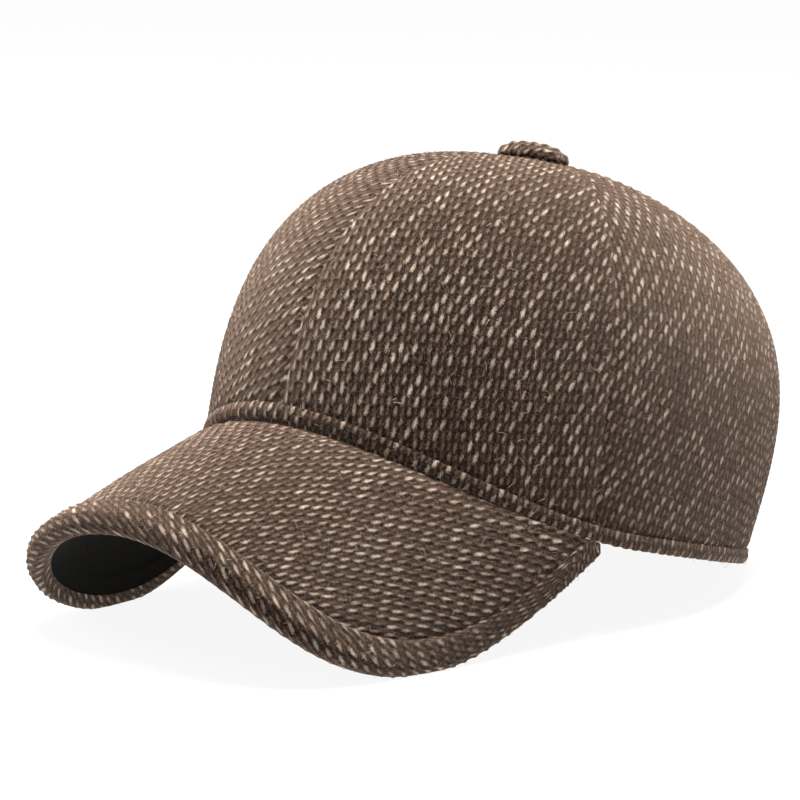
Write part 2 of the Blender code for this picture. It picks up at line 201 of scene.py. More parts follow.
def addNode(tree, kind, links=(), output=0, **settings):
    # Adds a node with its settings, fills its inputs with values or links, and gives one output.
    # Inputs by number: on Map Range, 1 and 2 are the low and high end it reads and 3 and 4 what it
    # gives for them. On Mix, 0 is the factor, 2 and 3 are its values, and 6 and 7 its colours.
    node = tree.nodes.new(kind)
    for name, value in settings.items():
        setattr(node, name, value)
    for key, value in (links.items() if isinstance(links, dict) else enumerate(links)):
        if isinstance(value, bpy.types.NodeSocket):
            tree.links.new(value, node.inputs[key])
        else:
            node.inputs[key].default_value = value
    return node.outputs[output] if node.outputs else node


def linearColour(code):
    # sRGB hex to the linear colour that a shader needs
    parts = [int(code[start:start + 2], 16) / 255 for start in (1, 3, 5)]
    return (*(part / 12.92 if part <= 0.04045 else ((part + 0.055) / 1.055) ** 2.4 for part in parts), 1.0)


def addObject(name, data):
    made = bpy.data.objects.new(name, data)
    bpy.context.scene.collection.objects.link(made)
    return made


def emptyMaterial(name):
    material = bpy.data.materials.new(name)
    material.use_nodes = True
    material.node_tree.nodes.clear()
    return material, material.node_tree


def emptyGeometryTree(name, inputs):
    # A tree with named inputs that gives a mesh, and the outputs of its group input
    tree = bpy.data.node_groups.new(name, "GeometryNodeTree")
    tree.interface.new_socket("Geometry", in_out="INPUT", socket_type="NodeSocketGeometry")
    for label, kind in inputs:
        tree.interface.new_socket(label, in_out="INPUT", socket_type="NodeSocket" + kind)
    tree.interface.new_socket("Geometry", in_out="OUTPUT", socket_type="NodeSocketGeometry")
    return tree, tree.nodes.new("NodeGroupInput").outputs


# Tweed, in millimetres on the cloth: pale flecks lie in rows, each row shifted by almost half
tweed = {
    "pitch": 4.45,
    "rowPitch": 3.3,
    "rowShift": 0.48,
    "fleckHalfWidth": 0.64,
    "fleckHalfLength": 1.75,
    "lean": math.radians(14.0),
    "leanSpread": math.radians(16.0),
    "scatter": 0.45,
    "sizeSpread": 0.35,
    "fleckHeight": 0.42 * mm,
    "napHeight": 0.2 * mm,
    "reliefFatness": 1.25,  # the raised flecks are a little wider than the pale ones, for the grid
    # painted sheen: seen from the side, the colour is veiled with a pale nap tint and painted lighter; seen
    # from straight ahead it is painted darker
    "paintedSheenVeil": 0.22,
    "paintedSheenEdge": 0.42,
    "paintedSheenFace": 0.66,
}


def layFlecks(tree, across, along, acrossShift=0.0, alongShift=0.0, fatness=1.0):
    # Distance from the nearest fleck's middle, 1 at its edge, with two random numbers of that fleck
    if acrossShift:
        across = addNode(tree, maths, (across, acrossShift), operation="ADD")
    if alongShift:
        along = addNode(tree, maths, (along, alongShift), operation="ADD")
    rowAt = addNode(tree, maths, (along, -1 / tweed["rowPitch"]), operation="MULTIPLY")
    lowRow = addNode(tree, maths, (rowAt,), operation="FLOOR")
    found = []
    for step in (0, 1):
        row = addNode(tree, maths, (lowRow, step), operation="ADD")
        shifted = addNode(tree, maths, (row, -tweed["rowShift"] * tweed["pitch"], across),
                          operation="MULTIPLY_ADD")
        cellAt = addNode(tree, maths, (shifted, 1 / tweed["pitch"]), operation="MULTIPLY")
        cell = addNode(tree, maths, (cellAt,), operation="ROUND")
        corner = addNode(tree, "ShaderNodeCombineXYZ", (cell, row, acrossShift))
        chance = addNode(tree, "ShaderNodeTexWhiteNoise", {"Vector": corner}, output="Color",
                         noise_dimensions="3D")
        parts = addNode(tree, "ShaderNodeSeparateXYZ", (chance,)).node.outputs
        fromCell = addNode(tree, maths, (cell, -tweed["pitch"], shifted), operation="MULTIPLY_ADD")
        fromRow = addNode(tree, maths, (row, tweed["rowPitch"], along), operation="MULTIPLY_ADD")
        sideJump = addNode(tree, maths, (parts[0], -0.5), operation="ADD")
        riseJump = addNode(tree, maths, (parts[1], -0.5), operation="ADD")
        aside = addNode(tree, maths, (sideJump, tweed["scatter"], fromCell), operation="MULTIPLY_ADD")
        above = addNode(tree, maths, (riseJump, tweed["scatter"], fromRow), operation="MULTIPLY_ADD")
        leanBy = addNode(tree, maths, (sideJump, tweed["leanSpread"], tweed["lean"]),
                         operation="MULTIPLY_ADD")
        cosLean = addNode(tree, maths, (leanBy,), operation="COSINE")
        sinLean = addNode(tree, maths, (leanBy,), operation="SINE")
        wideA = addNode(tree, maths, (aside, cosLean), operation="MULTIPLY")
        wideB = addNode(tree, maths, (above, sinLean), operation="MULTIPLY")
        wide = addNode(tree, maths, (wideA, wideB), operation="SUBTRACT")
        tallA = addNode(tree, maths, (aside, sinLean), operation="MULTIPLY")
        tall = addNode(tree, maths, (above, cosLean, tallA), operation="MULTIPLY_ADD")
        wideShare = addNode(tree, maths, (wide, 1 / tweed["fleckHalfWidth"] / fatness), operation="MULTIPLY")
        tallShare = addNode(tree, maths, (tall, 1 / tweed["fleckHalfLength"]), operation="MULTIPLY")
        wideSquare = addNode(tree, maths, (wideShare, wideShare), operation="MULTIPLY")
        squares = addNode(tree, maths, (tallShare, tallShare, wideSquare), operation="MULTIPLY_ADD")
        reach = addNode(tree, maths, (squares,), operation="SQRT")
        size = addNode(tree, maths, (parts[2], tweed["sizeSpread"], 1 - tweed["sizeSpread"] / 2),
                       operation="MULTIPLY_ADD")
        found.append((addNode(tree, maths, (reach, size), operation="DIVIDE"), parts[2], parts[0]))
    nearer = addNode(tree, maths, (found[1][0], found[0][0]), operation="LESS_THAN")
    nearest = addNode(tree, maths, (found[0][0], found[1][0]), operation="MINIMUM")
    picked = [addNode(tree, "ShaderNodeMix", {0: nearer, 2: found[0][part], 3: found[1][part]})
              for part in (1, 2)]
    return nearest, picked[0], picked[1]


def makeTweedCloth():
    # Wool tweed, woven from heathered dark yarn with pale weft flecks and brushed to a soft nap.
    # The eye gets a matt, dark, streaky ground, cream flecks of uneven tint and a pale sheen where the nap is
    # seen from the side, partly the shader's own sheen and partly painted sheen in the colour.
    material, tree = emptyMaterial("wool_tweed")
    place = addNode(tree, "ShaderNodeUVMap", uv_map="weave")
    # Yarn hairs push the fleck's outline about by half a millimetre
    fraying = addNode(tree, "ShaderNodeTexNoise", {"Vector": place, "Scale": 2.1, "Detail": 3.0,
                                                   "Roughness": 0.75}, output="Color", noise_dimensions="2D")
    frayed = addNode(tree, "ShaderNodeVectorMath", {0: fraying, 1: (2.2, 2.8, 0.0), 2: place},
                     operation="MULTIPLY_ADD")
    spot = addNode(tree, "ShaderNodeSeparateXYZ", (frayed,)).node.outputs
    reach, tint, hue = layFlecks(tree, spot[0], spot[1])
    halfRow = tweed["pitch"] * 0.5
    # Dim flecks, a little narrower, lie between the pale ones
    dimReach = layFlecks(tree, spot[0], spot[1], acrossShift=halfRow, alongShift=0.2, fatness=0.9)[0]
    # Streaks of yarn, 0.4 mm across and just over 1 mm long, that lie along the flecks
    turned = addNode(tree, "ShaderNodeMapping", {"Vector": place, "Rotation": (0, 0, tweed["lean"]),
                                                 "Scale": (2.6, 0.85, 1.0)})
    streaks = addNode(tree, "ShaderNodeTexNoise", {"Vector": turned, "Scale": 1.0, "Detail": 3.0,
                                                   "Roughness": 0.6}, noise_dimensions="2D")
    patches = addNode(tree, "ShaderNodeTexNoise", {"Vector": turned, "Scale": 0.7, "Detail": 2.0,
                                                   "Roughness": 0.7}, noise_dimensions="2D")
    ramps = {}
    for name, source, stops in (
        ("ground", streaks, ((0.38, "#050403"), (0.47, "#130e0a"), (0.55, "#2b2119"), (0.64, "#6a5646"))),
        ("heather", patches, ((0.32, "#4a4c34"), (0.42, "#6f6052"), (0.50, "#7c5648"), (0.58, "#655052"),
                              (0.66, "#94805a"))),
        ("fleck", tint, ((0.0, "#84756a"), (0.3, "#b4a598"), (0.7, "#d6c9bc"), (1.0, "#efe5d9"))),
        ("fleckHue", hue, ((0.0, "#ead8c9"), (0.4, "#ece2d6"), (0.8, "#e4dcc6"), (1.0, "#e8cebf"))),
    ):
        ramps[name] = addNode(tree, "ShaderNodeValToRGB", (source,))
        colours = ramps[name].node.color_ramp
        while len(colours.elements) < len(stops):
            colours.elements.new(0.5)
        for element, (position, code) in zip(colours.elements, stops):
            element.position = position
            element.color = linearColour(code)
    # Fuzz, 0.6 mm across with finer strands in it, breaks the ground up further
    fuzz = addNode(tree, "ShaderNodeTexNoise", {"Vector": place, "Scale": 1.6, "Detail": 4.0,
                                                "Roughness": 0.85}, noise_dimensions="2D")
    ground = addNode(tree, "ShaderNodeMix", {0: 0.7, 6: ramps["ground"], 7: ramps["heather"]}, output=2,
                     data_type="RGBA", blend_type="SOFT_LIGHT")
    dimMask = addNode(tree, "ShaderNodeMapRange", {0: dimReach, 1: 1.1, 2: 0.3, 3: 0.0, 4: 0.45})
    withDim = addNode(tree, "ShaderNodeMix", {0: dimMask, 6: ground, 7: linearColour("#7a6352")}, output=2,
                      data_type="RGBA")
    lit = addNode(tree, "ShaderNodeMapRange", {0: fuzz, 1: 0.35, 2: 0.66, 3: 0.1, 4: 2.7})
    mottled = addNode(tree, "ShaderNodeVectorMath", {0: withDim, "Scale": lit}, operation="SCALE")
    pale = addNode(tree, "ShaderNodeMix", {0: 0.7, 6: ramps["fleck"], 7: ramps["fleckHue"]}, output=2,
                   data_type="RGBA", blend_type="MULTIPLY")
    # The nap is brushed unevenly, in patches about a finger wide
    brushed = addNode(tree, "ShaderNodeTexNoise", {"Vector": place, "Scale": 0.075, "Detail": 2.0},
                      noise_dimensions="2D")
    brushing = addNode(tree, "ShaderNodeMapRange", {0: brushed, 1: 0.3, 2: 0.7, 3: 0.7, 4: 1.2})
    strands = addNode(tree, "ShaderNodeMapRange", {0: streaks, 1: 0.3, 2: 0.62, 3: 0.5, 4: 1.2})
    thread = addNode(tree, maths, (strands, brushing), operation="MULTIPLY")
    paleStreaked = addNode(tree, "ShaderNodeVectorMath", {0: pale, "Scale": thread}, operation="SCALE")
    mask = addNode(tree, "ShaderNodeMapRange", {0: reach, 1: 1.1, 2: 0.4, 3: 0.0, 4: 1.0})
    woven = addNode(tree, "ShaderNodeMix", {0: mask, 6: mottled, 7: paleStreaked}, output=2, data_type="RGBA")
    # Painted sheen: where the cloth is seen from the side, a pale speckled nap tint is mixed over the colour
    aslant = addNode(tree, "ShaderNodeLayerWeight", {"Blend": 0.5}, output="Facing")
    paintedVeilShare = addNode(tree, maths, (aslant, tweed["paintedSheenVeil"]), operation="MULTIPLY")
    paintedSheenSpeckle = addNode(tree, "ShaderNodeMapRange", {0: fuzz, 1: 0.42, 2: 0.62, 3: 0.0, 4: 2.6})
    paintedSheenTips = addNode(tree, "ShaderNodeVectorMath", {0: linearColour("#7d6455")[:3], "Scale": paintedSheenSpeckle},
                   operation="SCALE")
    paintedSheenVeiled = addNode(tree, "ShaderNodeMix", {0: paintedVeilShare, 6: woven, 7: paintedSheenTips}, output=2, data_type="RGBA",
                     blend_type="LIGHTEN")
    # Painted sheen and shade: the colour is scaled lighter seen from the side and darker seen from straight
    # ahead
    aslantSquare = addNode(tree, maths, (aslant, aslant), operation="MULTIPLY")
    paintedSheenLift = addNode(tree, maths, (aslantSquare, tweed["paintedSheenEdge"], tweed["paintedSheenFace"]),
                   operation="MULTIPLY_ADD")
    colour = addNode(tree, "ShaderNodeVectorMath", {0: paintedSheenVeiled, "Scale": paintedSheenLift}, operation="SCALE")
    height = addNode(tree, maths, (streaks, 0.5, fuzz), operation="MULTIPLY_ADD")
    raised = addNode(tree, maths, (mask, 0.5, height), operation="MULTIPLY_ADD")
    bump = addNode(tree, "ShaderNodeBump", {"Strength": 1.0, "Distance": 0.35 * mm, "Height": raised})
    surface = addNode(tree, "ShaderNodeBsdfPrincipled", {
        "Base Color": colour, "Roughness": 0.95, "IOR": 1.5, "Specular IOR Level": 0.15,
        "Sheen Weight": 0.3, "Sheen Roughness": 0.35, "Sheen Tint": linearColour("#ecd0bc"), "Normal": bump})
    addNode(tree, "ShaderNodeOutputMaterial", (surface,))
    return material


def makeBlackCloth():
    # Plain black cotton rep under the brim. Its fine ribs show only as a faint matt grain, with painted shade
    # that keeps their hollows a touch darker.
    material, tree = emptyMaterial("black_cotton_rep")
    place = addNode(tree, "ShaderNodeUVMap", uv_map="weave")
    # Ribs 1.3 mm apart that run across the brim
    ribs = addNode(tree, "ShaderNodeTexWave", {"Vector": place, "Scale": 0.245, "Distortion": 0.6,
                                               "Detail": 1.0}, output="Fac", bands_direction="Y")
    lint = addNode(tree, "ShaderNodeTexNoise", {"Vector": place, "Scale": 1.7, "Detail": 4.0})
    height = addNode(tree, maths, (lint, 0.5, ribs), operation="MULTIPLY_ADD")
    # The colour follows the height of the ribs and lint, so the hollows are a touch darker: painted shade
    shade = addNode(tree, "ShaderNodeMapRange", {0: height, 1: 0.2, 2: 1.3, 3: 0.0, 4: 1.0})
    colour = addNode(tree, "ShaderNodeMix", {0: shade, 6: linearColour("#080706"),
                                             7: linearColour("#12100c")}, output=2, data_type="RGBA")
    bump = addNode(tree, "ShaderNodeBump", {"Strength": 0.6, "Distance": 0.2 * mm, "Height": height})
    surface = addNode(tree, "ShaderNodeBsdfPrincipled", {
        "Base Color": colour, "Roughness": 0.9, "Specular IOR Level": 0.05, "Sheen Weight": 0.02,
        "Sheen Roughness": 0.5, "Normal": bump})
    addNode(tree, "ShaderNodeOutputMaterial", (surface,))
    return material


def makeReliefTree():
    # Raises the flecks and the nap on a piece's outer skin, by its "cloth" attribute: millimetres
    # across and along the grain, and how much of the relief shows there
    tree, given = emptyGeometryTree("weave_relief", (("Fleck height", "Float"), ("Nap height", "Float"),
                                                     ("Cloth", "Material")))
    cloth = addNode(tree, "GeometryNodeInputNamedAttribute", {0: "cloth"}, data_type="FLOAT_VECTOR")
    place = addNode(tree, "ShaderNodeSeparateXYZ", (cloth,)).node.outputs
    reach = layFlecks(tree, place[0], place[1], fatness=tweed["reliefFatness"])[0]
    square = addNode(tree, maths, (reach, reach), operation="MULTIPLY")
    dome = addNode(tree, maths, (1.0, square), operation="SUBTRACT", use_clamp=True)
    nap = addNode(tree, "ShaderNodeTexNoise", {"Vector": cloth, "Scale": 0.55, "Detail": 2.0})
    fleckRise = addNode(tree, maths, (dome, given["Fleck height"]), operation="MULTIPLY")
    rise = addNode(tree, maths, (nap, given["Nap height"], fleckRise), operation="MULTIPLY_ADD")
    shown = addNode(tree, maths, (rise, place[2]), operation="MULTIPLY")
    out = addNode(tree, "GeometryNodeInputNormal")
    offset = addNode(tree, "ShaderNodeVectorMath", {0: out, "Scale": shown}, operation="SCALE")
    raised = addNode(tree, "GeometryNodeSetPosition", {"Geometry": given[0], "Offset": offset})
    whole = addNode(tree, "GeometryNodeRealizeInstances", (raised,))
    clad = addNode(tree, "GeometryNodeSetMaterial", {"Geometry": whole, "Material": given["Cloth"]})
    addNode(tree, "NodeGroupOutput", (clad,))
    return tree


def plainMesh(piece, tree, values):
    # Runs a node tree on a piece once and keeps the result as the piece's own mesh
    modifier = piece.modifiers.new(tree.name, "NODES")
    modifier.node_group = tree
    for item in tree.interface.items_tree:
        if item.in_out == "INPUT" and item.name in values:
            modifier[item.identifier] = values[item.name]
    made = bpy.data.meshes.new_from_object(piece.evaluated_get(bpy.context.evaluated_depsgraph_get()))
    piece.modifiers.remove(modifier)
    old = piece.data
    piece.data = made
    bpy.data.meshes.remove(old)
    made.name = piece.name
    spots = np.empty(len(made.vertices) * 3)
    made.vertices.foreach_get("co", spots)
    spots[2::3] = np.maximum(spots[2::3], 0.0)  # nothing reaches below the floor
    made.vertices.foreach_set("co", spots)
    made.set_sharp_from_angle(angle=math.radians(60))
    made.update()


def makePiece(name, points, faces, cloth, relief, node, slot, material, girth=0.0):
    # One closed piece at rest on the floor, with its weave map, its relief and its place in the frame.
    # A ring gives its girth, so that the weave map doesn't run back where its two ends meet.
    mesh = bpy.data.meshes.new(name)
    mesh.from_pydata(restOnFloor(points).tolist(), [], faces)
    attribute = mesh.attributes.new("cloth", "FLOAT_VECTOR", "POINT")
    attribute.data.foreach_set("vector", np.column_stack([cloth, relief]).astype(np.float32).ravel())
    corners = np.empty(len(mesh.loops), dtype=np.int32)
    mesh.loops.foreach_get("vertex_index", corners)
    weave = cloth[corners]
    if girth:
        starts = np.empty(len(mesh.polygons), dtype=np.int32)
        mesh.polygons.foreach_get("loop_start", starts)
        counts = np.diff(np.append(starts, len(corners)))
        furthest = np.repeat(np.maximum.reduceat(weave[:, 0], starts), counts)
        weave[:, 0] += girth * (furthest - weave[:, 0] > girth / 2)
    mesh.uv_layers.new(name="weave").data.foreach_set("uv", weave.astype(np.float32).ravel())
    shell = bmesh.new()
    shell.from_mesh(mesh)
    bmesh.ops.recalc_face_normals(shell, faces=shell.faces)
    shell.to_mesh(mesh)
    shell.free()
    mesh.shade_smooth()
    piece = addObject(name, mesh)
    values = {"Fleck height": 0.0, "Nap height": 0.0, "Cloth": material}
    if slot == "tweed":
        values.update({"Fleck height": tweed["fleckHeight"], "Nap height": tweed["napHeight"]})
    plainMesh(piece, reliefTree, values)
    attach(piece, "root")
    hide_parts(node)
    print(f"{name}: {sum(len(p.vertices) - 2 for p in piece.data.polygons)} triangles")
    return piece


# Loose hairs of the brushed wool that stand off the cloth, a little thicker than real so that they show
hairs = {"perSquareMetre": 45000.0, "length": 1.9 * mm, "shortest": 0.35, "longest": 1.5,
         "thickness": 0.055 * mm, "seed": 11}


def makeHairTree():
    # Scatters bent, thin hairs over a cloth's outer skin, each from the skin up and over to one side
    tree, given = emptyGeometryTree("loose_hairs", (
        ("Hairs per square metre", "Float"), ("Length", "Float"), ("Shortest", "Float"),
        ("Longest", "Float"), ("Thickness share", "Float"), ("Seed", "Int"), ("Wool", "Material")))
    cloth = addNode(tree, "GeometryNodeInputNamedAttribute", {0: "cloth"}, data_type="FLOAT_VECTOR")
    shown = addNode(tree, "ShaderNodeSeparateXYZ", (cloth,), output="Z")
    outside = addNode(tree, maths, (shown, 0.5), operation="GREATER_THAN")
    scattered = addNode(tree, "GeometryNodeDistributePointsOnFaces", {
        "Mesh": given[0], "Selection": outside, "Density": given["Hairs per square metre"],
        "Seed": given["Seed"]}).node.outputs
    # The path of a hair, in shares of its length
    path = addNode(tree, "GeometryNodeCurveQuadraticBezier", {
        "Resolution": 4, "Start": (0.0, 0.0, -0.04), "Middle": (0.35, 0.0, 0.3), "End": (1.0, 0.3, 0.14)})
    width = addNode(tree, maths, (given["Thickness share"], 0.5), operation="MULTIPLY")
    ring = addNode(tree, "GeometryNodeCurvePrimitiveCircle", {"Resolution": 3, "Radius": width})
    hair = addNode(tree, "GeometryNodeCurveToMesh", {"Curve": path, "Profile Curve": ring, "Fill Caps": True})
    turn = addNode(tree, "FunctionNodeRandomValue", {2: 0.0, 3: 2 * math.pi, "Seed": 5}, output=1)
    spin = addNode(tree, "ShaderNodeCombineXYZ", (0.0, 0.0, turn))
    spinTurn = addNode(tree, "FunctionNodeEulerToRotation", (spin,))
    stand = addNode(tree, "FunctionNodeRotateRotation", (scattered["Rotation"], spinTurn),
                    rotation_space="LOCAL")
    share = addNode(tree, "FunctionNodeRandomValue", {2: given["Shortest"], 3: given["Longest"], "Seed": 8},
                    output=1)
    long = addNode(tree, maths, (share, given["Length"]), operation="MULTIPLY")
    size = addNode(tree, "ShaderNodeCombineXYZ", (long, long, long))
    planted = addNode(tree, "GeometryNodeInstanceOnPoints", {
        "Points": scattered["Points"], "Instance": hair, "Rotation": stand, "Scale": size})
    whole = addNode(tree, "GeometryNodeRealizeInstances", (planted,))
    clad = addNode(tree, "GeometryNodeSetMaterial", {"Geometry": whole, "Material": given["Wool"]})
    addNode(tree, "NodeGroupOutput", (clad,))
    return tree


def makeHairs(pieces, material):
    # The hairs of all the tweed pieces, as one piece
    skins = bmesh.new()
    for piece in pieces:
        skins.from_mesh(piece.data)
    mesh = bpy.data.meshes.new("loose_wool_hairs")
    skins.to_mesh(mesh)
    skins.free()
    piece = addObject("loose_wool_hairs", mesh)
    plainMesh(piece, makeHairTree(), {
        "Hairs per square metre": hairs["perSquareMetre"], "Length": hairs["length"],
        "Shortest": hairs["shortest"], "Longest": hairs["longest"],
        "Thickness share": hairs["thickness"] / hairs["length"], "Seed": hairs["seed"], "Wool": material})
    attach(piece, "root")
    print(f"loose_wool_hairs: {sum(len(p.vertices) - 2 for p in piece.data.polygons)} triangles")


def makeHairWool():
    # Single combed wool hairs, fine and slightly glossy. The eye gets pale and brown threads of light.
    material, tree = emptyMaterial("combed_wool_hair")
    place = addNode(tree, "ShaderNodeTexCoord", output="Object")
    # The tint changes from hair to hair, over about 3 mm
    chance = addNode(tree, "ShaderNodeTexNoise", {"Vector": place, "Scale": 320.0, "Detail": 1.0})
    tint = addNode(tree, "ShaderNodeValToRGB", (chance,))
    colours = tint.node.color_ramp.elements
    colours[0].position = 0.42
    colours[0].color = linearColour("#4a382c")
    colours[1].position = 0.58
    colours[1].color = linearColour("#d8c6b6")
    surface = addNode(tree, "ShaderNodeBsdfPrincipled", {
        "Base Color": tint, "Roughness": 0.6, "IOR": 1.55, "Specular IOR Level": 0.3})
    addNode(tree, "ShaderNodeOutputMaterial", (surface,))
    return material


insideCoarseness = 6  # outer grid steps for each step of a skin that is out of sight


def joinSkins(outer, inner):
    # Points and faces of a closed piece from a fine outer grid and a coarse inner one
    columns, rows = outer.shape[:2]
    innerColumns, innerRows = inner.shape[:2]
    k = insideCoarseness
    outerAt = np.arange(columns * rows).reshape(columns, rows)
    innerAt = columns * rows + np.arange(innerColumns * innerRows).reshape(innerColumns, innerRows)
    faces = []
    for grid, turned in ((outerAt, False), (innerAt, True)):
        a, b, c, d = grid[:-1, :-1], grid[1:, :-1], grid[1:, 1:], grid[:-1, 1:]
        quads = np.stack([a, d, c, b] if turned else [a, b, c, d], -1)
        faces += quads.reshape(-1, 4).tolist()
    for edge, far, forward in ((outerAt[:, 0], innerAt[:, 0], False), (outerAt[:, -1], innerAt[:, -1], True),
                               (outerAt[0], innerAt[0], True), (outerAt[-1], innerAt[-1], False)):
        for step in range(len(far) - 1):
            near = edge[step * k:step * k + k + 1].tolist()
            other = [int(far[step + 1]), int(far[step])]
            faces.append(near + other if forward else near[::-1] + other[::-1])
    points = np.concatenate([outer.reshape(-1, 3), inner.reshape(-1, 3)])
    return points, faces


def joinSkinsCloth(outer, inner, fade):
    # Cloth coordinates for both skins, and the relief, which fades towards the outer skin's edges
    columns, rows = outer.shape[:2]
    i = np.minimum(np.arange(columns), np.arange(columns)[::-1])[:, None]
    j = np.minimum(np.arange(rows), np.arange(rows)[::-1])[None, :]
    relief = smoothStep(np.minimum(i, j) / fade)
    cloth = np.concatenate([outer.reshape(-1, 2), inner.reshape(-1, 2)])
    return cloth, np.concatenate([relief.ravel(), np.zeros(inner.shape[0] * inner.shape[1])])


def seamAngle(seam, share):
    angle, swing = crown["seams"][seam]
    return np.radians(angle + swing * (1 - share) ** crown["seamSwingPower"])


rim = {
    "height": 4.6 * mm,
    "cloth": 0.9 * mm,
    "fold": 1.5 * mm,
    "bulge": 0.25 * mm,
    "cornerShare": 0.45,  # how rounded the binding's corners are, for its cloth's thickness
    "topSlant": 0.3,
    "relief": 0.8,
    "smoothPoints": 4,  # the section's last points, inside the rim, stay smooth
    "grid": 0.6 * mm,
}


def hemDepths():
    # How far under the crown's skin each face of the hem and of its binding lies
    middle = crown["cloth"] / 2
    out = middle - crown["hemCloth"] / 2
    inside = middle + crown["hemCloth"] / 2
    return {"hemOut": out, "hemIn": inside, "bandOut": out - gap - rim["cloth"], "slotOut": out - gap,
            "slotIn": inside + gap, "bandIn": inside + gap + rim["cloth"]}


def panelSkin(startSeam, endSeam, side, columns, rows, inside):
    # One skin of a crown panel, and its cloth coordinates. side is 1 on the wearer's left
    depths = hemDepths()
    column = np.linspace(0, 1, columns)[:, None]
    row = np.linspace(0, 1, rows)[None, :]
    middle = seamAngle(startSeam, 0.5) * (1 - column) + seamAngle(endSeam, 0.5) * column
    whole = crownLength(middle)
    low = rim["fold"] + gap
    distance = low + (whole - crown["apexHole"] - low) * row
    share = distance / whole
    first = seamAngle(startSeam, share)
    last = seamAngle(endSeam, share)
    angle = first * (1 - column) + last * column
    distance = np.minimum(distance, crownLength(angle) - crown["apexHole"])
    spot = crownPoint(angle, distance)
    radius = np.maximum(np.hypot(spot[..., 0], spot[..., 1]), crown["apexHole"])
    fromSeam = np.minimum(angle - first, last - angle) * radius
    if side < 0:
        angle, distance, fromSeam = -angle[::-1], distance[::-1], fromSeam[::-1]
    point, out = crownFrame(angle, distance)
    pressed = 1 - smoothStep((distance - rim["height"]) / crown["hemEase"])
    dip = crown["seamDip"] * np.exp(-(fromSeam / crown["seamDipWidth"]) ** 2)
    if inside:
        depth = crown["cloth"] * (1 - pressed) + depths["hemIn"] * pressed
    else:
        depth = dip * (1 - pressed) + depths["hemOut"] * pressed
    steps = np.linalg.norm(np.diff(point, axis=0), axis=-1)
    across = np.concatenate([np.zeros((1, rows)), np.cumsum(steps, axis=0)])
    across -= across[columns // 2]
    along = distance + rimHeight(angle)
    return point - out * depth[..., None], np.stack([across, along], -1) / mm


def makeCrown(material):
    k = insideCoarseness
    number = 0
    panels = []
    for stem, startSeam, endSeam in (("front", "front", "temple"), ("side", "temple", "ear"),
                                     ("back", "ear", "back")):
        edge = crownPoint(np.linspace(seamAngle(startSeam, 0), seamAngle(endSeam, 0), 60), 0.0)
        width = np.linalg.norm(np.diff(edge, axis=0), axis=1).sum()
        columns = round(width / crown["grid"] / k)
        rows = round(crownLength(seamAngle(startSeam, 0.5)) / crown["grid"] / k)
        for hand, side in (("left", 1), ("right", -1)):
            outer, outerCloth = panelSkin(startSeam, endSeam, side, columns * k + 1, rows * k + 1, False)
            inner, innerCloth = panelSkin(startSeam, endSeam, side, columns + 1, rows + 1, True)
            points, faces = joinSkins(outer, inner)
            cloth, relief = joinSkinsCloth(outerCloth, innerCloth, crown["reliefFade"])
            grainTurn = crown["grainTurns"][f"{stem}_{hand}"]
            cloth = turnGrain(cloth, grainTurn) + np.array(crown["patternShift"]) * number
            number += 1
            panels.append(makePiece(f"crown_{stem}_{hand}", points, faces, cloth, relief,
                                    f"panel_{stem}_{hand}", "tweed", material))
    return panels


def ringFaces(sections, count, closed):
    # Faces of a closed section carried along a path, joined into a ring or capped at both ends
    grid = np.arange(sections * count).reshape(sections, count)
    follow = np.roll(grid, -1, axis=0) if closed else grid[1:]
    here = grid if closed else grid[:-1]
    quads = np.stack([here, follow, np.roll(follow, -1, axis=1), np.roll(here, -1, axis=1)], -1)
    faces = quads.reshape(-1, 4).tolist()
    if not closed:
        faces += [grid[0].tolist(), grid[-1][::-1].tolist()]
    return faces


def makeRimBinding(material):
    # The section as depth under the crown's skin and height above the rim: first the skin that shows
    depths = hemDepths()
    slotOut, slotIn, bandOut, bandIn = (depths[part] for part in ("slotOut", "slotIn", "bandOut", "bandIn"))
    fold = rim["cloth"] * rim["cornerShare"]
    high = rim["height"]
    outside = np.array([
        (slotOut, high - fold * rim["topSlant"]), (bandOut + fold, high), (bandOut, high - fold),
        (bandOut - rim["bulge"], high / 2), (bandOut, fold), (bandOut + fold, 0.0),
        (crown["cloth"] / 2, 0.0), (bandIn - fold, 0.0), (bandIn, fold),
    ])
    outsideCount = round(evenRows(outside, 3)[1] / rim["grid"])
    fine = evenRows(outside, outsideCount)[0]
    inside = np.array([(bandIn, high - fold), (bandIn - fold, high), (slotIn, high), (slotIn, rim["fold"]),
                       (slotOut, rim["fold"])])
    section = np.concatenate([curveThrough(outside, fine), inside])
    angles = np.linspace(-math.pi, math.pi, 4000)
    edge = lengthsAlong(crownPoint(angles, 0.0))
    girth = edge[-1]
    sections = round(girth / rim["grid"])
    around = np.linspace(0, girth, sections, endpoint=False)
    angle = np.interp(around, edge, angles)[:, None]
    point, out = crownFrame(angle, np.maximum(section[None, :, 1], 0.0))
    points = point - out * section[None, :, 0, None]
    strip = lengthsAlong(section)
    cloth = np.stack([np.repeat(around[:, None], len(strip), 1),
                      -np.repeat(strip[None], sections, 0)], -1) / mm
    relief = np.zeros((sections, len(strip)))
    relief[:, 1:outsideCount - rim["smoothPoints"]] = rim["relief"]
    return makePiece("crown_rim_binding", points.reshape(-1, 3), ringFaces(sections, len(strip), True),
                     cloth.reshape(-1, 2), relief.ravel(), "rim_binding", "tweed", material, girth / mm)


button = {
    "radius": 11.8 * mm,
    "height": 5.8 * mm,
    "section": ((0.60, 0.0), (0.90, 0.03), (1.00, 0.20), (0.98, 0.38), (0.88, 0.62), (0.70, 0.82),
                (0.44, 0.95), (0.17, 1.00), (0.0, 1.005)),
    "smallestRing": 0.15 * mm,
    "footCloth": (8 * mm, 5 * mm),  # cloth of the hidden post's two rings, past the button's own
    "smoothRings": 4,
    "grid": 0.5 * mm,
}


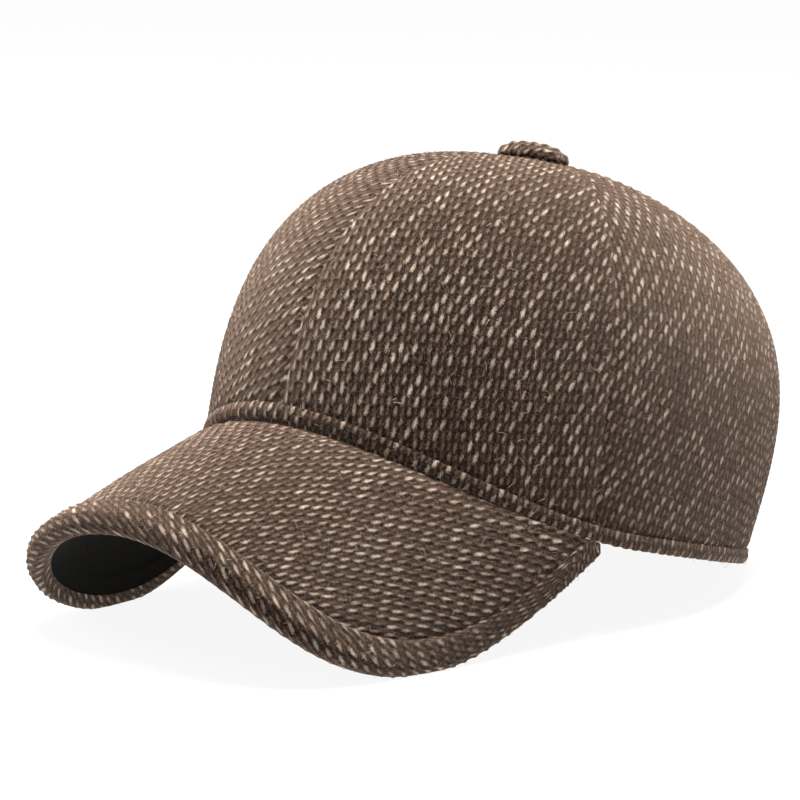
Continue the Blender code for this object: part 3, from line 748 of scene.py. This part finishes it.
def makeButton(material):
    post = crown["apexHole"] - gap
    dome = np.array(button["section"]) * np.array([button["radius"], button["height"]])
    rings = round(evenRows(dome, 3)[1] / button["grid"])
    fine, length = evenRows(dome, rings + 1)
    section = curveThrough(dome, fine)[:-1]
    section[:, 0] = np.maximum(section[:, 0], button["smallestRing"])
    toApex = length - np.linspace(0, length, rings + 1)[:-1]
    foot = np.array([(post, -crown["cloth"] - gap), (post, 0.0)])
    section = np.concatenate([foot, section])
    toApex = np.concatenate([[length + past for past in button["footCloth"]], toApex])
    count = round(2 * math.pi * button["radius"] / button["grid"])
    angle = np.linspace(0, 2 * math.pi, count, endpoint=False)[:, None]
    radius = section[None, :, 0]
    seat = crownPoint(angle, crownLength(angle) - radius)[..., 2]
    turned = np.broadcast_to(angle, seat.shape)
    x = radius * np.sin(turned)
    y = -radius * np.cos(turned)
    points = np.stack([x, y, seat + gap + section[None, :, 1]], -1)
    cloth = np.stack([toApex * np.sin(turned), -toApex * np.cos(turned)], -1) / mm
    relief = np.ones(seat.shape)
    relief[:, :button["smoothRings"]] = 0.0
    rows = len(section)
    grid = np.arange(count * rows).reshape(count, rows)
    follow = np.roll(grid, -1, axis=0)
    quads = np.stack([grid[:, :-1], follow[:, :-1], follow[:, 1:], grid[:, 1:]], -1)
    faces = quads.reshape(-1, 4).tolist() + [grid[::-1, 0].tolist(), grid[:, -1].tolist()]
    return makePiece("crown_button", points.reshape(-1, 3), faces, cloth.reshape(-1, 2), relief.ravel(),
                     "top_button", "tweed", material)


brim = {
    "endAngle": math.radians(72.5),
    "reach": 131.0 * mm,
    "halfWidth": 95.0 * mm,
    "squareness": 2.41,
    "bendRadius": 65.6 * mm,
    "drop": 37.7 * mm,
    "dome": 1.8 * mm,
    "cover": 4.0 * mm,
    "under": 1.1 * mm,
    "endThickness": 0.5,
    "endThinningFrom": 0.75,
    "segments": 36,
    "crowding": 1.15,
    "grid": 0.8 * mm,
    "underGrid": 2.0 * mm,
    "rowCurve": 2.9e-7,  # for each cubic mm: the rows of flecks curve back towards both sides
    "stretch": (1.1, 1.06),
    "rootDip": 1.5 * mm,  # the cover is drawn down where it is sewn in under the rim
    "rootDipWidth": 4.0 * mm,
    "endRise": 0.5 * mm,  # at its ends the cover is pressed up against the rim instead
    "endRiseFrom": 0.55,  # share of the half width where that starts, and over how much of it it grows
    "endRiseOver": 0.25,
    "deepest": 0.85,  # share of a section's length that the binding may reach back at most
    "leastLean": 0.3,  # how square to a section the edge is taken to run, at least
    "reliefFade": 2.0,
}


roll = {
    "radius": 4.5 * mm,
    "cloth": 1.5 * mm,
    "lip": 0.8 * mm,
    "topWidth": 6.5 * mm,
    "shoulderWidth": 5.0 * mm,
    "underWidth": 1.0 * mm,
    "crease": 0.5 * mm,  # how far the stitches pull the cover and the binding's lip down
    "creaseWidth": 1.6 * mm,
    "grid": 0.6 * mm,
    "grainTurn": -65.0,
    "stretch": (1.2, 0.78),  # the strip is cut on the bias and pulled tight, which thins its flecks
    "patternShift": 17.0,
    # the section: how the lip and the shoulder rise, then equal turns round the edge, then the underside
    "lipCrease": 0.4,
    "lipReach": 0.7,
    "shoulderRise": 0.7,
    "turns": 9,
    "squareness": 0.6,  # the underside is pressed flatter and squarer than a circle, which is 1
    "underLip": 0.6,
    "lowLips": (0.5, 0.1),
    "stitchRow": 0.2,  # a narrow first row lets the lip turn in sharply at the stitches
    "underFrom": 7.2,  # the row where the underside starts, which is pressed smooth
    "underRelief": 0.45,
}


def brimRoot(across, drop):
    # Line under the rim's binding where the brim is sewn in
    point, out = crownFrame(across * brim["endAngle"], 0.0)
    return point - out * crown["cloth"] / 2 - np.stack([0 * drop, 0 * drop, drop], -1)


def brimEdge(across):
    # Centre line of the roll that binds the edge
    turn = across * math.pi / 2
    power = 2 / brim["squareness"]
    sideways = brim["halfWidth"] * np.sign(across) * np.abs(np.sin(turn)) ** power
    forward = np.abs(np.cos(turn)) ** power
    endY = -crown["walls"]["front"][0] * math.cos(brim["endAngle"])
    bend = brim["bendRadius"]
    arch = bend * (1 - np.cos(sideways / bend))
    edge = np.stack([bend * np.sin(sideways / bend), endY - brim["reach"] * forward,
                     crown["foreheadRise"] - brim["drop"] * forward - arch], -1)
    # Near its ends the edge is drawn in until it meets the rim from below
    reach = bend * math.sin(brim["halfWidth"] / bend)
    depth = bend * (1 - math.cos(brim["halfWidth"] / bend))
    plainEnd = np.stack([np.sign(across) * reach, 0 * across + endY,
                         0 * across + crown["foreheadRise"] - depth], -1)
    realEnd = brimRoot(np.sign(across), 0 * across + gap + roll["radius"] * brim["endThickness"])
    return edge + ((1 - forward) ** 3)[:, None] * (realEnd - plainEnd)


def brimLayout():
    # What the brim's pieces share at the solids' own sections, from end to end
    across = np.linspace(-1, 1, brim["segments"] + 1)
    across = np.sign(across) * (1 - (1 - np.abs(across)) ** brim["crowding"])
    edge = brimEdge(across)
    past = (np.abs(across) - brim["endThinningFrom"]) / (1 - brim["endThinningFrom"])
    thin = 1 - (1 - brim["endThickness"]) * smoothStep(past)
    half = (brim["cover"] + brim["under"] + gap) / 2 * thin
    drop = half + gap
    for _ in range(3):
        root = brimRoot(across, drop)
        rule = unit(edge - root)
        rootOut = unit(np.cross(rule, np.gradient(root, axis=0)))
        edgeOut = unit(np.cross(rule, np.gradient(edge, axis=0)))
        rootOut = rootOut * np.sign(rootOut[:, 2:] + 1e-9)
        edgeOut = edgeOut * np.sign(edgeOut[:, 2:] + 1e-9)
        drop = gap + half * np.clip(rootOut[:, 2], 0.0, 1.0)
    ahead = unit(np.cross(unit(np.gradient(edge, axis=0)), edgeOut))
    ahead = ahead * np.sign(np.sum(ahead * rule, axis=1))[:, None]
    lean = np.maximum(np.sum(ahead * rule, axis=1), brim["leastLean"])
    return {"root": root, "edge": edge, "length": np.linalg.norm(edge - root, axis=1), "rootOut": rootOut,
            "edgeOut": edgeOut, "ahead": ahead, "lean": lean, "half": half, "thin": thin}


def fineLayout(layout, count):
    # The same values at sections spaced evenly along the edge
    fine, length = evenRows(layout["edge"], count)
    made = {name: curveThrough(values, fine) for name, values in layout.items()}
    for name in ("rootOut", "edgeOut", "ahead"):
        made[name] = unit(made[name])
    made["alongEdge"] = np.linspace(-length / 2, length / 2, count)
    made["longest"] = layout["length"].max()
    return made


def brimMiddle(layout, share):
    # Points of the brim's middle skin and their outs, from 0 at the root to 1 at the edge's centre line
    share = share[..., None]
    out = unit(layout["rootOut"][:, None] * (1 - share) + layout["edgeOut"][:, None] * share)
    dome = brim["dome"] * 4 * share * (1 - share) * (layout["length"] / layout["longest"])[:, None, None]
    point = layout["root"][:, None] * (1 - share) + layout["edge"][:, None] * share + out * dome
    return point, out


def shareBack(layout, back):
    # Share along each section that lies a distance back from the edge's centre line, square to it
    return 1 - np.minimum(back / layout["lean"], layout["length"] * brim["deepest"]) / layout["length"]


def brimSkin(layout, depth, rows, hiddenRows):
    # One skin of a sheet of the brim, from its root to the end of the board inside the binding
    lip = shareBack(layout, roll["topWidth"])[:, None]
    shown = lip * np.linspace(0, 1, rows + 1)
    hidden = lip + (1 - lip) * np.linspace(0, 1, hiddenRows)[1:]
    share = np.concatenate([shown, hidden], axis=1)
    point, out = brimMiddle(layout, share)
    reached = np.concatenate([share, share[:, -1:]], axis=1) * layout["length"][:, None]
    plateEnd = (roll["radius"] - roll["cloth"] - gap) * layout["thin"]
    last = layout["edge"] + layout["ahead"] * plateEnd[:, None]
    point = np.concatenate([point, last[:, None]], axis=1)
    out = np.concatenate([out, layout["edgeOut"][:, None]], axis=1)
    # The stitches along the binding draw both outer skins down
    fromLip = np.maximum(lip * layout["length"][:, None] - reached, 0.0) * layout["lean"][:, None]
    crease = roll["crease"] * layout["thin"][:, None] * np.exp(-(fromLip / roll["creaseWidth"]) ** 2)
    fromMiddle = np.linspace(-1, 1, len(depth))[:, None]
    atEnd = smoothStep((np.abs(fromMiddle) - brim["endRiseFrom"]) / brim["endRiseOver"])
    rootDip = brim["rootDip"] * (1 - fromMiddle ** 2) ** 2 - brim["endRise"] * atEnd
    rootDip = rootDip * np.exp(-(reached / brim["rootDipWidth"]) ** 2)
    depth = depth[:, None] - (crease + rootDip) * (hiddenRows > 1)
    skin = point + out * depth[..., None]
    # The cloth's grain runs fore and aft on the rolled brim
    slope = math.atan2(brim["drop"], brim["reach"])
    along = skin[..., 1] * math.cos(slope) + skin[..., 2] * math.sin(slope)
    height = skin[..., 2] * math.cos(slope) - skin[..., 1] * math.sin(slope)
    crest = (crown["foreheadRise"] * math.cos(slope) + crown["walls"]["front"][0] * math.sin(slope)
             - brim["bendRadius"])
    across = brim["bendRadius"] * np.arctan2(skin[..., 0], height - crest)
    return skin, np.stack([across, along], -1) / mm


def makeBrim(tweedCloth, blackCloth):
    layout = brimLayout()
    k = insideCoarseness
    length = evenRows(layout["edge"], 3)[1]
    pieces = []
    for name, node, slot, material, grid in (
        ("brim_cover", "brim_cover", "tweed", tweedCloth, brim["grid"]),
        ("brim_under", "brim_under", "black_cloth", blackCloth, brim["underGrid"]),
    ):
        columns = round(length / grid / k)
        rows = round(brim["reach"] / grid / k)
        skins = []
        for fineness in (k, 1):
            sections = fineLayout(layout, columns * fineness + 1)
            half = sections["half"]
            under = brim["under"] * sections["thin"]
            top = fineness == k
            if node == "brim_cover":
                depth = half if top else under + gap - half
            else:
                depth = -half if top else under - half
            skins.append(brimSkin(sections, depth, rows * fineness, 6 if top else 1))
        if node == "brim_under":
            # Its outer skin faces down, so both grids run the other way across
            skins = [(points[::-1], cloth[::-1]) for points, cloth in skins]
        points, faces = joinSkins(skins[0][0], skins[1][0])
        cloth, relief = joinSkinsCloth(skins[0][1], skins[1][1], brim["reliefFade"])
        cloth[:, 1] -= brim["rowCurve"] * cloth[:, 0] ** 4
        cloth *= np.array(brim["stretch"])
        pieces.append(makePiece(name, points, faces, cloth, relief, node, slot, material))
    return pieces[0]


def makeBrimBinding(material):
    coarse = brimLayout()
    sections = round(evenRows(coarse["edge"], 3)[1] / roll["grid"])
    layout = fineLayout(coarse, sections)
    thin = layout["thin"][:, None]
    slot = layout["half"][:, None] + gap
    lip = roll["lip"] * thin
    radius = roll["radius"] * thin
    floor = (roll["radius"] - roll["cloth"]) * thin
    proud = np.maximum(radius, slot + lip)
    edge, out, ahead = layout["edge"], layout["edgeOut"], layout["ahead"]
    (topEnd, topOut), (lowEnd, lowOut), (shoulder, shoulderOut) = (
        [part[:, 0] for part in brimMiddle(layout, shareBack(layout, roll[width])[:, None])]
        for width in ("topWidth", "underWidth", "shoulderWidth"))
    crease = roll["crease"] * thin
    outside = [topEnd + topOut * (slot - crease),
               topEnd + topOut * (slot - crease * roll["lipCrease"]) + ahead * lip * roll["lipReach"],
               shoulder + shoulderOut * (slot + (proud - slot) * roll["shoulderRise"])]
    low = slot + lip * roll["underLip"]
    for step in range(1, roll["turns"]):
        turn = math.pi * (0.5 - step / roll["turns"])
        if turn > 0:
            outside.append(edge + ahead * radius * math.cos(turn) + out * proud * math.sin(turn))
        else:
            reach = math.cos(turn) ** roll["squareness"]
            fall = abs(math.sin(turn)) ** roll["squareness"]
            outside.append(edge + ahead * radius * reach - out * low * fall)
    outside += [lowEnd - lowOut * (slot + lip * share) for share in roll["lowLips"]]
    outside = np.array(outside)
    middle = outside[:, sections // 2]
    count = round(evenRows(middle, 3)[1] / roll["grid"])
    fine = evenRows(middle, count)[0]
    fine = np.insert(fine, 1, fine[1] * roll["stitchRow"])
    count += 1
    inside = np.array([edge - out * slot, edge + ahead * floor - out * slot,
                       edge + ahead * floor + out * slot, edge + out * slot])
    points = np.concatenate([curveThrough(outside, fine), inside]).transpose(1, 0, 2)
    steps = np.linalg.norm(np.diff(points, axis=1), axis=-1)
    strip = np.concatenate([np.zeros((sections, 1)), np.cumsum(steps, axis=1)], axis=1)
    along = np.broadcast_to(layout["alongEdge"][:, None], strip.shape)
    cloth = turnGrain(np.stack([along, -strip], -1) / mm, roll["grainTurn"])
    cloth = cloth * np.array(roll["stretch"]) + roll["patternShift"]
    relief = np.zeros(strip.shape)
    relief[2:-2, 2:count - 2] = np.where(fine[2:count - 2] < roll["underFrom"], 1.0, roll["underRelief"])
    return makePiece("brim_edge_binding", points.reshape(-1, 3), ringFaces(sections, points.shape[1], False),
                     cloth.reshape(-1, 2), relief.ravel(), "brim_binding", "tweed", material)


studio = {
    "floorSize": 40.0,
    "table": "#626160",  # milky acrylic, lit from below
    "tableGlow": 0.91,
    # white tent: a bright band at the horizon, then a light that grows from low down to overhead
    "horizon": 1.1,
    "horizonBand": (0.1, 0.14),
    "low": 0.15,
    "overhead": 0.95,
    # the tent's side to the wearer's left and front is darker, by this share
    "dimSide": (0.88, -0.47, 0.1),
    "dimFade": (-0.3, 0.8),
    "dimming": 0.92,
    "aim": (0.0, 0.0, 0.06),
    # place, size, power in watts and colour of each soft light, left and right as the camera sees them
    "lights": {
        "overhead": ((0.08, -0.1, 1.5), (0.8, 0.8), 66.0, "#fffaf6"),
        "left": ((-1.5, -0.6, 0.7), (0.8, 0.8), 16.0, "#ffffff"),
        "right": ((0.6, 1.7, 0.7), (0.8, 0.8), 3.0, "#ffffff"),
    },
}


def makeStudio():
    # White table that glows, three soft lights above and beside the cap, and a white tent round them
    mesh = bpy.data.meshes.new("floor")
    far = studio["floorSize"] / 2
    mesh.from_pydata([(-far, -far, 0), (far, -far, 0), (far, far, 0), (-far, far, 0)], [], [(0, 1, 2, 3)])
    material = bpy.data.materials.new("lit_white_acrylic")
    material.use_nodes = True
    table = material.node_tree.nodes["Principled BSDF"].inputs
    table["Base Color"].default_value = linearColour(studio["table"])
    table["Roughness"].default_value = 1.0
    table["Specular IOR Level"].default_value = 0.0
    table["Emission Color"].default_value = linearColour("#ffffff")
    table["Emission Strength"].default_value = studio["tableGlow"]
    mesh.materials.append(material)
    addObject("floor", mesh)
    for name, (place, size, power, colour) in studio["lights"].items():
        data = bpy.data.lights.new(name, "AREA")
        data.shape = "RECTANGLE"
        data.size, data.size_y = size
        data.energy = power
        data.color = linearColour(colour)[:3]
        aim = mathutils.Vector(studio["aim"]) - mathutils.Vector(place)
        turn = aim.to_track_quat("-Z", "Y").to_matrix().to_4x4()
        addObject(name, data).matrix_world = mathutils.Matrix.Translation(place) @ turn
    world = bpy.data.worlds.new("studio")
    world.use_nodes = True
    tree = world.node_tree
    way = addNode(tree, "ShaderNodeTexCoord", output="Generated")
    rise = addNode(tree, "ShaderNodeSeparateXYZ", (way,), output="Z")
    bandLow, bandHigh = studio["horizonBand"]
    tent = addNode(tree, "ShaderNodeMapRange", {0: rise, 1: bandLow, 2: 1.0, 3: studio["low"],
                                                4: studio["overhead"]})
    facing = addNode(tree, "ShaderNodeVectorMath", {0: way, 1: studio["dimSide"]}, output="Value",
                     operation="DOT_PRODUCT")
    dimFrom, dimTo = studio["dimFade"]
    kept = addNode(tree, "ShaderNodeMapRange", {0: facing, 1: dimFrom, 2: dimTo, 3: 1.0,
                                                4: 1 - studio["dimming"]}, interpolation_type="SMOOTHSTEP")
    dimmed = addNode(tree, maths, (tent, kept), operation="MULTIPLY")
    nearFloor = addNode(tree, "ShaderNodeMapRange", {0: rise, 1: bandLow, 2: bandHigh, 3: studio["horizon"],
                                                     4: 0.0})
    strength = addNode(tree, maths, (dimmed, nearFloor), operation="MAXIMUM")
    tree.links.new(strength, tree.nodes["Background"].inputs["Strength"])
    tree.nodes["Background"].inputs["Color"].default_value = linearColour("#ffffff")
    bpy.context.scene.world = world
    bpy.context.scene.view_settings.view_transform = "Standard"


camera = {
    "right": (0.7675, 0.6405, 0.0249),
    "up": (-0.1181, 0.1032, 0.9876),
    "back": (0.6300, -0.7610, 0.1549),
    "place": (771.9 * mm, -914.3 * mm, 266.5 * mm),
    "focal": 3726.3,  # in pixels of the photograph, which is 800 across
    "middle": 400.0,
    "targetPixel": (472.7, 359.9),
}


def makeCamera():
    # The fitted camera, turned so that the photograph's middle is its own middle
    right, up, back = (np.array(axis) for axis in (camera["right"], camera["up"], camera["back"]))
    middle = camera["middle"]
    aside, below = np.array(camera["targetPixel"]) - middle
    newBack = -unit(-back * camera["focal"] - right * aside + up * below)
    newRight = unit(np.cross(up, newBack))
    newUp = np.cross(newBack, newRight)
    data = bpy.data.cameras.new("camera")
    data.lens = data.sensor_width * math.hypot(camera["focal"], aside, below) / (2 * middle)
    data.clip_start = 0.05
    data.clip_end = 60
    eye = addObject("camera", data)
    turn = np.eye(4)
    turn[:3, :3] = np.column_stack([newRight, newUp, newBack])
    turn[:3, 3] = camera["place"]
    eye.matrix_world = mathutils.Matrix(turn.tolist())
    bpy.context.scene.camera = eye


print("Meridians measured")
tweedCloth = makeTweedCloth()
blackCloth = makeBlackCloth()
reliefTree = makeReliefTree()
print("Cloths and weave relief ready")
tweedPieces = makeCrown(tweedCloth)
tweedPieces.append(makeRimBinding(tweedCloth))
tweedPieces.append(makeButton(tweedCloth))
print("Crown sewn")
tweedPieces.append(makeBrim(tweedCloth, blackCloth))
tweedPieces.append(makeBrimBinding(tweedCloth))
print("Brim sewn")
makeHairs(tweedPieces, makeHairWool())
print("Nap brushed up")
makeStudio()
makeCamera()
